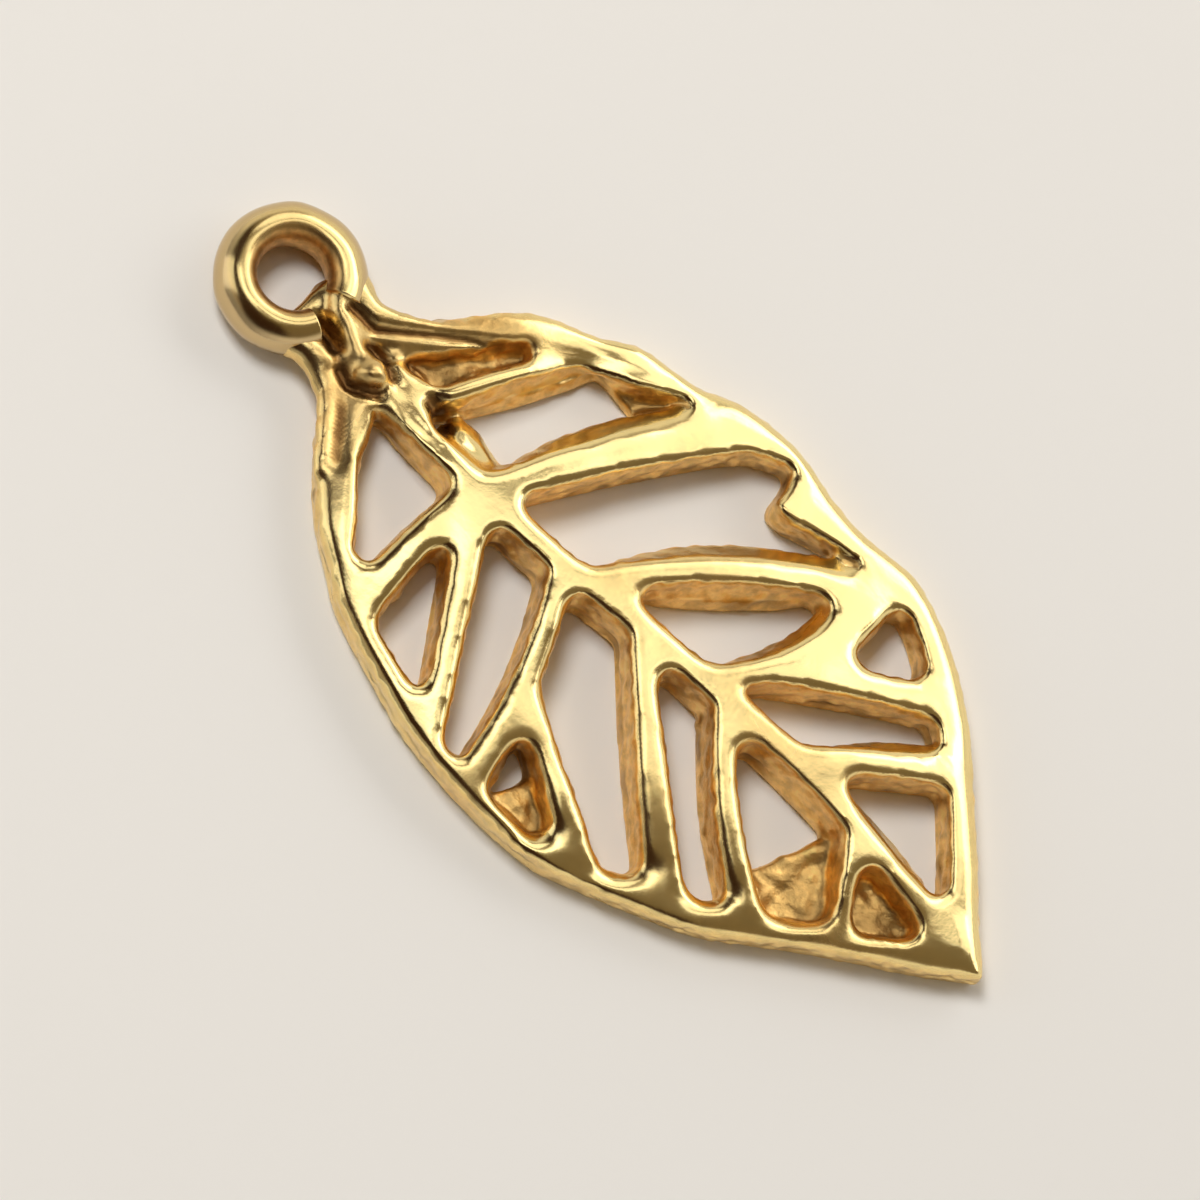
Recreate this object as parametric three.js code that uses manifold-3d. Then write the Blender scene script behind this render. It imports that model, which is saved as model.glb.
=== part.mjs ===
// Leaf hair charm: an openwork cast leaf with a round loop at its stem, lying on its flat back.
// Millimetres. +X runs from the loop to the tip, +Y to the leaf's right side, +Z is up.
// The layout is drawn from the loop's centre, and the last lines centre the charm on the origin.

import * as THREE from 'three';
import { mergeVertices } from 'three/addons/utils/BufferGeometryUtils.js';
import Module from 'manifold-3d';

const wasm = await Module();
wasm.setup();

// Loop at the stem: a round wire bent into a C, its ends closed on the stem's tongue
const loopRadius = 1.85;
const wireWidth = 1.02;
const wireHeight = 1.34;
const wireLean = 0.12;
const tongueHalfWidth = 0.78;
const tongueEnd = 0.56;
const tongueHeight = 0.86;
const seatGap = 0.03;

// Leaf blade
const bladeLength = 21.4;
const rightHalfWidth = 6.05;
const leftHalfWidth = 6.0;
const ribThickness = 1.55;
const edgeThickness = 1.0;
const stemThickness = 0.74;
const stemRise = 0.17;
const crownPower = 4;
const topRound = 0.17;
const backRound = 0.07;

// Openings between the veins
const wallDraft = 0.11;
const cornerRadius = 0.32;
const cornerReach = 0.8;
const probeShare = 0.33;
const longestReach = 1.2;
const webThickness = 0.42;
const webLedge = 0.06;
const flankThickness = 0.4;

// Stem between the loop and the blade: strands that run into both rims, a ridge and a knob
const strandRadius = 0.32;
const strandEndRadius = 0.2;
const strandHeight = 0.84;
const strandReach = 0.13;
const ridgeRadius = 0.36;
const ribStrandReach = 0.19;
const lipRadius = 0.17;
const knobRadius = 0.46;
const knobStation = 0.06;

// Fineness of the curves
const pointSpacing = 0.16;
const chordLength = 0.8;
const chordError = 0.007;
const nearStep = 0.15;
const cornerSteps = 9;
const fewestSteps = 6;
const crownShares = [0, 0.25, 0.5, 0.75, 0.95];
const strandShares = [0, 0.25, 0.5, 0.75, 1];
const strandSides = 10;
const strandSteps = 8;
const knobSides = 16;
const wireSides = 16;
const loopSteps = 56;
const mergeDistance = 1e-5;
// How far cutters reach beyond the metal they cut
const cutterReach = 3;

const wireCentre = loopRadius - wireWidth / 2;
const bladeStart = Math.sqrt(loopRadius ** 2 - tongueHalfWidth ** 2) + seatGap;
const cosRound = 1 - Math.SQRT1_2;
const station = (share) => bladeStart + share * bladeLength;
const shareAt = (x) => (x - bladeStart) / bladeLength;

// Edge of the blade on each side: share of the length, share of the half width
const rightEdge = [
  [0, 0.155], [0.03, 0.17], [0.088, 0.42], [0.135, 0.62], [0.2, 0.738], [0.243, 0.835],
  [0.317, 0.888], [0.364, 0.964], [0.444, 1], [0.542, 0.943], [0.64, 0.97], [0.715, 0.881],
  [0.798, 0.686], [0.872, 0.438], [0.946, 0.18], [1, 0],
];
const leftEdge = [
  [0, 0.165], [0.032, 0.2], [0.07, 0.398], [0.126, 0.607], [0.173, 0.717], [0.215, 0.81],
  [0.303, 0.912], [0.369, 0.975], [0.481, 1], [0.565, 0.975], [0.621, 0.895], [0.677, 0.807],
  [0.733, 0.713], [0.785, 0.575], [0.855, 0.382], [0.946, 0.157], [1, 0],
];

// Midrib: share of the length and how far it sways to the right; then its half width
const midribSway = [
  [0, -0.02], [0.074, -0.45], [0.224, -0.52], [0.341, -0.4], [0.458, -0.05], [0.551, 0.12],
  [0.715, 0.35], [0.832, 0.16], [0.92, 0.1], [1, 0],
];
const midribHalfWidth = [
  [0, 0.55], [0.1, 0.32], [0.5, 0.35], [0.75, 0.34], [0.85, 0.27], [0.92, 0.38], [1, 0.7],
];

// Width of the rim along each side, and the lobe that juts from the right rim into an opening
const rightRim = [
  [0.05, 0.85], [0.15, 0.8], [0.25, 1.05], [0.33, 0.42], [0.4, 0.95], [0.46, 0.5],
  [0.6, 0.75], [0.68, 0.78], [0.78, 0.92], [0.86, 0.75], [1, 0.9],
];
const leftRim = [
  [0.05, 0.95], [0.12, 0.95], [0.19, 0.52], [0.3, 0.62], [0.4, 0.45], [0.5, 0.45], [0.6, 0.62],
  [0.72, 0.8],
  [0.8, 0.65], [0.9, 0.62], [1, 0.75],
];
const lobe = { at: 0.487, height: 0.95, stemward: 0.014, tipward: 0.045 };

// Side veins: share of the length at the root and at the edge, bow towards the tip, widths
const rightVeins = {
  first: { root: 0.11, end: 0.232, bow: -0.1, widths: [0.4, 0.45] },
  second: { root: 0.234, end: 0.405, bow: -0.15, widths: [0.75, 1.25] },
  third: { root: 0.385, end: 0.69, bow: -0.68, widths: [0.7, 0.72] },
  fourth: { root: 0.54, end: 0.598, bow: 1.05, widths: [0.5, 1.3] },
  fifth: { root: 0.677, end: 0.835, bow: 0, widths: [0.6, 0.8] },
};
const leftVeins = {
  first: { root: 0.227, end: 0.236, bow: -0.15, widths: [0.72, 0.9] },
  second: { root: 0.23, end: 0.397, bow: 0, widths: [0.82, 0.6] },
  third: { root: 0.35, end: 0.449, bow: 0.36, widths: [0.58, 0.86] },
  fourth: { root: 0.459, end: 0.711, bow: -0.15, widths: [0.6, 1.05] },
  fifth: { root: 0.581, end: 0.79, bow: -0.35, widths: [0.62, 0.75] },
  sixth: { root: 0.775, end: 0.86, bow: 0.05, widths: [0.45, 0.5] },
};
const rightBranch = { from: 'fourth', at: 0.28, end: 0.782, bow: -0.08, widths: [0.8, 0.82] };
const leftBranch = { from: 'third', at: 0.475, end: 0.623, bow: -0.08, widths: [0.5, 0.85] };

// Straight edges where a web or the stem closes an opening: share, sideways place, heading
const stemShelf = { at: 0.075, y: 0.42, heading: 8 };
const firstWeb = { at: 0.28, y: 3.95, heading: -5 };
const branchWeb = { at: 0.488, y: -5, heading: 68 };
const tipWeb = { at: 0.754, y: -1.32, heading: 68 };

// Flanks that slope out from the sides of veins, low ones at the foot and shoulders high up:
// the side, from and to as shares of its length, how far out it reaches and how high it ends
const footHeight = 0.2;
const shoulderHeight = 0.85;
const flanks = [
  { vein: 'first', side: 'tipward', from: 0.12, to: 0.97, reach: 0.36, height: footHeight },
  { vein: 'third', side: 'tipward', from: 0.16, to: 0.62, reach: 0.32, height: footHeight },
  { vein: 'midrib', side: 'right', from: 0.15, to: 0.235, reach: 0.6, height: footHeight },
  { vein: 'second', side: 'stemward', from: 0.12, to: 0.8, reach: 0.36, height: shoulderHeight },
  { vein: 'third', side: 'stemward', from: 0.08, to: 0.88, reach: 0.34, height: shoulderHeight },
  { vein: 'fourth', side: 'stemward', from: 0.12, to: 0.9, reach: 0.22, height: shoulderHeight },
  { vein: 'fifth', side: 'stemward', from: 0.25, to: 0.92, reach: 0.24, height: shoulderHeight },
  { vein: 'midrib', side: 'right', from: 0.75, to: 0.89, reach: 0.28, height: shoulderHeight },
];

// Lip of the pocket beside the knob: share of the length, sideways place
const lipLine = [[0.066, 0.14], [0.09, 0.1], [0.114, 0.2], [0.137, 0.62]];

// Value at a share of the length, eased from one station of the table to the next
function along(table, share) {
  const after = table.findIndex(([at]) => at >= share);
  if (after === 0) return table[0][1];
  if (after < 0) return table[table.length - 1][1];
  const [from, low] = table[after - 1];
  const [to, high] = table[after];
  return THREE.MathUtils.lerp(low, high, THREE.MathUtils.smoothstep(share, from, to));
}

// Smooth line through a few points, cut into even steps
function smoothLine(points) {
  const curve = new THREE.CatmullRomCurve3(
    points.map(([x, y]) => new THREE.Vector3(x, y, 0)), false, 'centripetal',
  );
  const steps = Math.max(fewestSteps, Math.round(curve.getLength() / pointSpacing));
  return curve.getSpacedPoints(steps).map((p) => new THREE.Vector2(p.x, p.y));
}

// Left-hand normal of a line of points at one of them
function normalAt(line, i) {
  const before = line[Math.max(0, i - 1)];
  const after = line[Math.min(line.length - 1, i + 1)];
  return new THREE.Vector2(before.y - after.y, after.x - before.x).normalize();
}

// Line beside another, at a distance that may change along it; positive is to its left
function beside(line, distance) {
  return line.map((p, i) => {
    const away = distance(i / (line.length - 1), p);
    return p.clone().addScaledVector(normalAt(line, i), away);
  });
}

const edgeLine = (edge, halfWidth) => smoothLine(edge.map(([s, w]) => [station(s), w * halfWidth]));
const rightOutline = edgeLine(rightEdge, rightHalfWidth);
const leftOutline = edgeLine(leftEdge, -leftHalfWidth);
const midrib = smoothLine(midribSway.map(([s, y]) => [station(s), y]));

// Sideways place of a line that runs from the stem to the tip, at a distance along the charm
function heightOn(line, x) {
  const after = line.findIndex((p) => p.x >= x);
  if (after === 0) return line[0].y;
  if (after < 0) return line[line.length - 1].y;
  const from = line[after - 1];
  const to = line[after];
  return THREE.MathUtils.mapLinear(x, from.x, to.x, from.y, to.y);
}

function lobeHeight(share) {
  const spread = share < lobe.at ? lobe.stemward : lobe.tipward;
  return lobe.height * Math.exp(-(((share - lobe.at) / spread) ** 2));
}

// Inner edges of the rim and both edges of the midrib
const rightRimLine = beside(rightOutline, (_, p) => {
  const share = shareAt(p.x);
  return -along(rightRim, share) - lobeHeight(share);
});
const leftRimLine = beside(leftOutline, (_, p) => along(leftRim, shareAt(p.x)));
const midribRight = beside(midrib, (_, p) => along(midribHalfWidth, shareAt(p.x)));
const midribLeft = beside(midrib, (_, p) => -along(midribHalfWidth, shareAt(p.x)));

// Centre line of a vein from its root to the outline, bowed in the middle
function veinLine(start, end, bow) {
  const middle = start.clone().lerp(end, 0.5);
  const chord = end.clone().sub(start).normalize();
  const tipward = new THREE.Vector2(Math.abs(chord.y), -chord.x * Math.sign(chord.y));
  const control = middle.addScaledVector(tipward, 2 * bow);
  const curve = new THREE.QuadraticBezierCurve(start, control, end);
  const steps = Math.max(fewestSteps, Math.round(curve.getLength() / pointSpacing));
  return curve.getPoints(steps);
}

// Both sides of a vein: the one towards the stem and the one towards the tip
function veinSides(line, [rootWidth, endWidth], isRight) {
  const half = (t) => THREE.MathUtils.lerp(rootWidth, endWidth, t) / 2;
  const left = beside(line, half);
  const right = beside(line, (t) => -half(t));
  return isRight ? { line, stemward: left, tipward: right } : { line, stemward: right, tipward: left };
}

function sideVeins(veins, outline, isRight) {
  const made = {};
  for (const [name, { root, end, bow, widths }] of Object.entries(veins)) {
    const start = new THREE.Vector2(station(root), heightOn(midrib, station(root)));
    const finish = new THREE.Vector2(station(end), heightOn(outline, station(end)));
    made[name] = veinSides(veinLine(start, finish, bow), widths, isRight);
  }
  return made;
}

// Branch of a vein: its line starts half its width before the parent's, so that both of its sides
// cross the parent's
function branchOf(veins, { from, at, end, bow, widths }, outline, isRight) {
  const parent = veins[from].line;
  const fork = parent[Math.round(at * (parent.length - 1))];
  const finish = new THREE.Vector2(station(end), heightOn(outline, station(end)));
  const start = fork.clone().add(fork.clone().sub(finish).setLength(widths[0] / 2));
  return veinSides(veinLine(start, finish, bow), widths, isRight);
}

// Straight line right across the blade through a point, at a heading in degrees
function across({ at, y, heading }) {
  const turn = THREE.MathUtils.degToRad(heading);
  const direction = new THREE.Vector2(Math.cos(turn), Math.sin(turn));
  const centre = new THREE.Vector2(station(at), y);
  return [-bladeLength, bladeLength].map((reach) => centre.clone().addScaledVector(direction, reach));
}

// Where two lines of points cross: how far along each of them, and the place
function crossings(a, b) {
  const found = [];
  for (let i = 0; i + 1 < a.length; i += 1) {
    const u = a[i + 1].clone().sub(a[i]);
    for (let j = 0; j + 1 < b.length; j += 1) {
      const v = b[j + 1].clone().sub(b[j]);
      const w = b[j].clone().sub(a[i]);
      const turn = u.cross(v);
      const s = w.cross(v) / turn;
      const t = w.cross(u) / turn;
      const isInside = s >= 0 && s < 1 && t >= 0 && t < 1;
      if (isInside) found.push({ onA: i + s, onB: j + t, point: a[i].clone().addScaledVector(u, s) });
    }
  }
  return found;
}

// Stretch of a line of points between two places along it, in either direction; a point nearer to
// an end than a small part of a step is left out
function stretch(line, from, to) {
  const at = (place) => {
    const i = Math.min(Math.floor(place), line.length - 2);
    return line[i].clone().lerp(line[i + 1], place - i);
  };
  const low = Math.min(from, to);
  const high = Math.max(from, to);
  const inner = line.filter((_, i) => i > low + nearStep && i < high - nearStep);
  const points = [at(low), ...inner, at(high)];
  return from <= to ? points : points.reverse();
}

// Place along a line of points that lies a distance from its start
function placeAt(line, distance) {
  let left = distance;
  for (let i = 0; i + 1 < line.length; i += 1) {
    const step = line[i].distanceTo(line[i + 1]);
    if (left < step) return i + left / step;
    left -= step;
  }
  return line.length - 1;
}

function lengthOf(line) {
  return line.slice(1).reduce((sum, p, i) => sum + p.distanceTo(line[i]), 0);
}

// Round corner between the end of one side and the start of the next: how far it reaches along
// both, and the handles of the curve that stands for its arc. The angle is taken over a probe
// along both sides, since they may be bent right at the corner.
function roundCorner(side, next) {
  const corner = next[0];
  const probe = probeShare * Math.min(lengthOf(side), lengthOf(next));
  const back = stretch(side.slice().reverse(), 0, placeAt(side.slice().reverse(), probe)).pop();
  const ahead = stretch(next, 0, placeAt(next, probe)).pop();
  const opening = Math.abs(back.sub(corner).angleTo(ahead.sub(corner)));
  const reach = Math.min(cornerRadius / Math.tan(opening / 2), cornerReach, longestReach * probe);
  const handle = (4 / 3) * Math.tan((Math.PI - opening) / 4) * Math.tan(opening / 2);
  return { corner, reach, handle };
}

// Closed outline of an opening: each line runs to where it crosses the next, with round corners
function openingOutline(lines) {
  const pairs = lines.map((line, i) => crossings(line, lines[(i + 1) % lines.length]));
  const sure = pairs.filter((found) => found.length === 1).map(([only]) => only.point);
  const centre = sure.reduce((sum, p) => sum.add(p), new THREE.Vector2()).divideScalar(sure.length);
  const ends = pairs.map((found) => found.reduce(
    (best, c) => (c.point.distanceTo(centre) < best.point.distanceTo(centre) ? c : best),
  ));
  const count = lines.length;
  const sides = lines.map((line, i) => stretch(line, ends[(i + count - 1) % count].onB, ends[i].onA));
  const corners = sides.map((side, i) => roundCorner(side, sides[(i + 1) % count]));
  const straights = sides.map((side, i) => {
    const from = placeAt(side, corners[(i + count - 1) % count].reach);
    const to = placeAt(side, lengthOf(side) - corners[i].reach);
    return stretch(side, from, to);
  });
  return straights.flatMap((side, i) => {
    const { corner, handle } = corners[i];
    const from = side[side.length - 1];
    const to = straights[(i + 1) % count][0];
    const bend = new THREE.CubicBezierCurve(
      from, from.clone().lerp(corner, handle), to.clone().lerp(corner, handle), to,
    );
    return [...side, ...bend.getPoints(cornerSteps).slice(1, -1)];
  });
}

// Which points of a closed outline to keep: none that its neighbours' chord comes close to
function keptPoints(ring) {
  const kept = [0];
  for (let i = 1; i < ring.length; i += 1) {
    const last = kept[kept.length - 1];
    const chord = ring[(i + 1) % ring.length].clone().sub(ring[last]);
    const strays = ring.slice(last + 1, i + 1).map((p) => Math.abs(chord.cross(p.clone().sub(ring[last]))));
    const isFar = Math.max(...strays) > chordError * chord.length();
    if (isFar || chord.length() > chordLength) kept.push(i);
  }
  return kept;
}

// Closed outline moved inwards by a distance, outwards where it is negative
function inset(ring, distance) {
  return ring.map((p, i) => {
    const before = ring[(i + ring.length - 1) % ring.length];
    const after = ring[(i + 1) % ring.length];
    const inward = new THREE.Vector2(before.y - after.y, after.x - before.x).normalize();
    return p.clone().addScaledVector(inward, distance);
  });
}

// Solid skinned over rings of equal count, closed at both ends by what their contours bound
function skin(rings, firstContour, lastContour = firstContour) {
  const count = firstContour.length;
  const positions = rings.flat().flatMap((p) => [p.x, p.y, p.z]);
  const top = (rings.length - 1) * count;
  const faces = THREE.ShapeUtils.triangulateShape(firstContour, []).flatMap(([a, b, c]) => [a, c, b]);
  faces.push(...THREE.ShapeUtils.triangulateShape(lastContour, []).flat().map((i) => top + i));
  for (let level = 0; level + 1 < rings.length; level += 1) {
    for (let i = 0; i < count; i += 1) {
      const a = level * count + i;
      const b = level * count + ((i + 1) % count);
      faces.push(a, b, b + count, a, b + count, a + count);
    }
  }
  return solidOf(new Float32Array(positions), new Uint32Array(faces));
}

function solidOf(vertProperties, triVerts) {
  return new wasm.Manifold(new wasm.Mesh({ numProp: 3, vertProperties, triVerts }));
}

function solidFromGeometry(geometry) {
  const bare = geometry.clone();
  bare.deleteAttribute('normal');
  bare.deleteAttribute('uv');
  const merged = mergeVertices(bare, mergeDistance);
  return solidOf(new Float32Array(merged.attributes.position.array), new Uint32Array(merged.index.array));
}

// Thickness of the blade: most on the midrib, least at its edge, falling to both ends and lower
// still at the stem, where the strands stand proud of it
function thicknessAt({ x, y }) {
  const rib = heightOn(midrib, x);
  const edge = y > rib ? heightOn(rightOutline, x) : heightOn(leftOutline, x);
  const away = THREE.MathUtils.clamp((y - rib) / (edge - rib || 1), 0, 1);
  const share = THREE.MathUtils.clamp(shareAt(x), 0, 1);
  const rise = THREE.MathUtils.smoothstep(share, 0, stemRise);
  const low = THREE.MathUtils.lerp(stemThickness, edgeThickness, rise);
  const lengthwise = rise * (1 - (2 * share - 1) ** crownPower);
  return low + (ribThickness - low) * (1 - away ** 2) * lengthwise;
}

// Ring of points at a height over the flat back, or at a depth below the crowned top face
const atHeight = (z) => (p) => new THREE.Vector3(p.x, p.y, z);
const belowTop = (depth) => (p) => new THREE.Vector3(p.x, p.y, thicknessAt(p) - depth);

// Upright solid whose outline changes with height: each level is [where, inset]
function tieredSolid(outline, levels) {
  const kept = keptPoints(outline);
  const rings = levels.map(([where, distance]) => {
    const moved = inset(outline, distance);
    return kept.map((i) => where(moved[i]));
  });
  return skin(rings, kept.map((i) => outline[i]));
}

// The blade before it is pierced: flat at the back, round at the edge, its top face crowned in
// rings that draw in from the edge towards the midrib
function bladeBlank() {
  const outline = [...leftOutline, ...rightOutline.slice(0, -1).reverse()];
  const kept = keptPoints(outline);
  const ringOf = (distance, where) => {
    const moved = inset(outline, distance);
    return kept.map((i) => where(moved[i]));
  };
  const topEdge = ringOf(topRound, (p) => p);
  const crownRing = (share) => topEdge.map((p) => {
    const towards = new THREE.Vector2(p.x, THREE.MathUtils.lerp(p.y, heightOn(midrib, p.x), share));
    return belowTop(0)(towards);
  });
  const rings = [
    ringOf(backRound, atHeight(0)),
    ringOf(0, atHeight(backRound)),
    ringOf(0, belowTop(topRound)),
    ringOf(topRound * cosRound, belowTop(topRound * cosRound)),
    ...crownShares.map(crownRing),
  ];
  return skin(rings, topEdge, rings[rings.length - 1]);
}

// Cutter for an opening: narrower at the back by the draft, flared at the top face, from a floor
// upwards
function openingCutter(outline, floor) {
  const foot = wallDraft * (1 - floor / ribThickness);
  return tieredSolid(outline, [
    [atHeight(floor > 0 ? floor : -webThickness), foot],
    [belowTop(topRound), 0],
    [belowTop(topRound * cosRound), -topRound * cosRound],
    [belowTop(-topRound * cosRound), -topRound],
    [atHeight(cutterReach), -topRound],
  ]);
}

// Cutter for the part of a webbed opening that goes right through, a ledge inside its walls
function webCutter(outline) {
  return tieredSolid(outline, [
    [atHeight(-webThickness), wallDraft + webLedge],
    [atHeight(2 * webThickness), wallDraft],
  ]);
}

// The openings, each walled by the lines that bound it, counter-clockwise from above. A pocket
// has a floor; where a thin web closes part of an opening, `through` bounds what stays open.
function openings() {
  const right = sideVeins(rightVeins, rightOutline, true);
  const left = sideVeins(leftVeins, leftOutline, false);
  const rightFork = branchOf(right, rightBranch, rightOutline, true);
  const leftFork = branchOf(left, leftBranch, leftOutline, false);
  return [
    { lines: [across(stemShelf), right.first.stemward, rightRimLine], isPocket: true },
    {
      lines: [midribRight, right.second.stemward, rightRimLine, right.first.tipward],
      through: [midribRight, right.second.stemward, across(firstWeb), right.first.tipward],
    },
    { lines: [midribRight, right.third.stemward, rightRimLine, right.second.tipward] },
    { lines: [midribRight, right.fourth.stemward, right.third.tipward] },
    { lines: [right.fourth.tipward, rightFork.stemward, rightRimLine] },
    { lines: [midribRight, right.fifth.stemward, rightRimLine, rightFork.tipward, right.fourth.tipward] },
    { lines: [midribRight, rightRimLine, right.fifth.tipward] },
    { lines: [midribLeft, leftRimLine, left.first.stemward] },
    { lines: [left.first.tipward, leftRimLine, left.second.stemward] },
    { lines: [midribLeft, left.second.tipward, leftRimLine, left.third.stemward] },
    {
      lines: [left.third.tipward, leftRimLine, leftFork.stemward],
      through: [left.third.tipward, leftRimLine, across(branchWeb), leftFork.stemward],
    },
    { lines: [midribLeft, left.third.tipward, leftFork.tipward, leftRimLine, left.fourth.stemward] },
    { lines: [midribLeft, left.fourth.tipward, leftRimLine, left.fifth.stemward] },
    {
      lines: [midribLeft, left.fifth.tipward, leftRimLine, left.sixth.stemward],
      through: [midribLeft, left.fifth.tipward, across(tipWeb)],
    },
    { lines: [midribLeft, left.sixth.tipward, leftRimLine], isPocket: true },
  ];
}

// Flank to the right of a line: a strip that leans on the metal there, with its full reach along
// the middle and drawn in to nothing at both ends
function flank(side, { from, to, reach, height }) {
  const last = side.line.length - 1;
  const [start, end] = side.isReversed ? [1 - to, 1 - from] : [from, to];
  const line = stretch(side.line, start * last, end * last).filter((_, i) => i % 2 === 0);
  const rings = line.map((p, i) => {
    const swell = Math.sqrt(Math.max(0, Math.sin((Math.PI * i) / (line.length - 1))));
    const outer = p.clone().addScaledVector(normalAt(line, i), -reach * swell - webLedge);
    const inner = p.clone().addScaledVector(normalAt(line, i), wallDraft);
    const foot = atHeight(Math.max(0, height - flankThickness));
    return [foot(outer), foot(inner), belowTop(topRound)(inner), atHeight(height)(outer)];
  });
  const section = [[0, 0], [1, 0], [1, 2], [0, 1]].map(([x, y]) => new THREE.Vector2(x, y));
  return skin(rings, section);
}

// Side of a vein or of the midrib, run so that the opening lies to its right, which is backwards
// for all but the sides towards the tip
function flankedSide(veins, { vein, side }) {
  if (side === 'tipward') return { line: veins[vein].tipward, isReversed: false };
  const line = vein === 'midrib' ? midribRight : veins[vein].stemward;
  return { line: line.slice().reverse(), isReversed: true };
}

function openingCutters() {
  const cutters = [];
  for (const { lines, isPocket, through } of openings()) {
    const outline = openingOutline(lines);
    cutters.push(openingCutter(outline, isPocket || through ? webThickness : 0));
    if (through) cutters.push(webCutter(openingOutline(through)));
  }
  return cutters;
}

function blade() {
  const pierced = openingCutters().reduce((body, cutter) => body.subtract(cutter), bladeBlank());
  const veins = sideVeins(rightVeins, rightOutline, true);
  return flanks.reduce((body, look) => body.add(flank(flankedSide(veins, look), look)), pierced);
}

// Round strand along a smooth path, its radius changing evenly from end to end
function strand(points, startRadius, endRadius) {
  const path = new THREE.CatmullRomCurve3(points.map((p) => new THREE.Vector3(...p)), false, 'centripetal');
  const circle = new THREE.Path().absarc(0, 0, 1, 0, 2 * Math.PI).getPoints(strandSides).slice(0, -1);
  const frames = path.computeFrenetFrames(strandSteps);
  const rings = path.getSpacedPoints(strandSteps).map((centre, i) => {
    const radius = THREE.MathUtils.lerp(startRadius, endRadius, i / strandSteps);
    return circle.map(({ x, y }) => centre.clone()
      .addScaledVector(frames.normals[i], x * radius)
      .addScaledVector(frames.binormals[i], y * radius));
  });
  return skin(rings, circle);
}

// Tongue that fills the loop's gap, with its flat end as the chord of the eye
function tongue() {
  const length = bladeStart + strandRadius - tongueEnd;
  const box = new THREE.BoxGeometry(length, 2 * tongueHalfWidth, tongueHeight);
  box.translate(tongueEnd + length / 2, 0, tongueHeight / 2);
  return solidFromGeometry(box);
}

function knob() {
  const x = station(knobStation);
  const ball = new THREE.SphereGeometry(knobRadius, knobSides, knobSides / 2);
  ball.rotateX(Math.PI / 2);
  ball.translate(x, heightOn(midrib, x), edgeThickness);
  return solidFromGeometry(ball);
}

// Strand that follows an edge of the blade from the loop until it sinks into the rim
function edgeStrand(outline, side) {
  const line = beside(outline, () => -side * strandRadius);
  const points = strandShares.map((t) => {
    const x = station(t * strandReach);
    return [x, heightOn(line, x), strandHeight - t * strandEndRadius];
  });
  return strand(points, strandRadius, strandEndRadius);
}

// Ridge from the loop down to the knob, and the strand from the knob into the left rim
function ridge() {
  const x = station(knobStation);
  const knobY = heightOn(midrib, x);
  const points = [
    [wireCentre - strandRadius, tongueHalfWidth - ridgeRadius / 2, strandHeight],
    [station(0), 0, strandHeight],
    [x, knobY, strandHeight],
  ];
  return strand(points, ridgeRadius, ridgeRadius);
}

// Strand from the knob along the midrib until it sinks into it
function ribStrand() {
  const points = strandShares.map((t) => {
    const x = station(THREE.MathUtils.lerp(knobStation, ribStrandReach, t));
    return [x, heightOn(midrib, x), strandHeight + t * strandEndRadius];
  });
  return strand(points, strandRadius, strandEndRadius);
}

function pocketLip() {
  return strand(lipLine.map(([share, y]) => [station(share), y, edgeThickness]), lipRadius, lipRadius);
}

function innerStrand() {
  const from = station(knobStation);
  const to = station(strandReach);
  const points = strandShares.map((t) => {
    const x = THREE.MathUtils.lerp(from, to, t);
    const y = THREE.MathUtils.lerp(heightOn(midrib, from), heightOn(leftRimLine, to), t);
    return [x, y - strandRadius * t, strandHeight - t * strandEndRadius];
  });
  return strand(points, ridgeRadius, strandEndRadius);
}

// Room for the loop's round outside, beside the tongue
function loopSeat() {
  const radius = loopRadius + seatGap;
  const room = new THREE.CylinderGeometry(radius, radius, 2 * cutterReach, loopSteps);
  room.rotateX(Math.PI / 2);
  return solidFromGeometry(room).subtract(tongueSlot());
}

// Slab that holds the tongue and nothing of the loop
function tongueSlot() {
  const slab = new THREE.BoxGeometry(2 * loopRadius, 2 * tongueHalfWidth, 4 * cutterReach);
  slab.translate(loopRadius, 0, 0);
  return solidFromGeometry(slab);
}

function leafSolid() {
  const edgeStrands = [edgeStrand(rightOutline, 1), edgeStrand(leftOutline, -1)];
  const strands = [...edgeStrands, ridge(), innerStrand(), ribStrand(), pocketLip()];
  const stem = strands.reduce((body, part) => body.add(part), tongue().add(knob()));
  return blade().add(stem).subtract(loopSeat());
}

// The loop: the wire's round section, its crest leaning outwards, turned about the eye
function loopSolid() {
  const section = [];
  for (let i = 0; i <= wireSides; i += 1) {
    const turn = (2 * Math.PI * (i % wireSides)) / wireSides;
    const rise = Math.sin(turn);
    const radius = wireCentre + (wireWidth / 2) * Math.cos(turn) + wireLean * Math.max(0, rise) ** 2;
    section.push(new THREE.Vector2(radius, (wireHeight / 2) * (1 + rise)));
  }
  const ring = new THREE.LatheGeometry(section, loopSteps);
  ring.rotateX(Math.PI / 2);
  return solidFromGeometry(ring).subtract(tongueSlot());
}

// Gold plating over cast brass, a little warmer on the loop
function platedBrass(color) {
  return new THREE.MeshStandardMaterial({ color, roughness: 0.24, metalness: 1 });
}

function namedMesh(name, solid, material) {
  const { vertProperties, triVerts } = solid.getMesh();
  const geometry = new THREE.BufferGeometry();
  geometry.setAttribute('position', new THREE.BufferAttribute(vertProperties, 3));
  geometry.setIndex(new THREE.BufferAttribute(triVerts, 1));
  geometry.computeVertexNormals();
  const mesh = new THREE.Mesh(geometry, material);
  mesh.name = name;
  return mesh;
}

const charm = new THREE.Group();
charm.name = 'leaf_hair_charm';
charm.add(
  namedMesh('leaf', leafSolid(), platedBrass(0xf0cf6e)),
  namedMesh('eye_loop', loopSolid(), platedBrass(0xe6c06a)),
);

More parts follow.
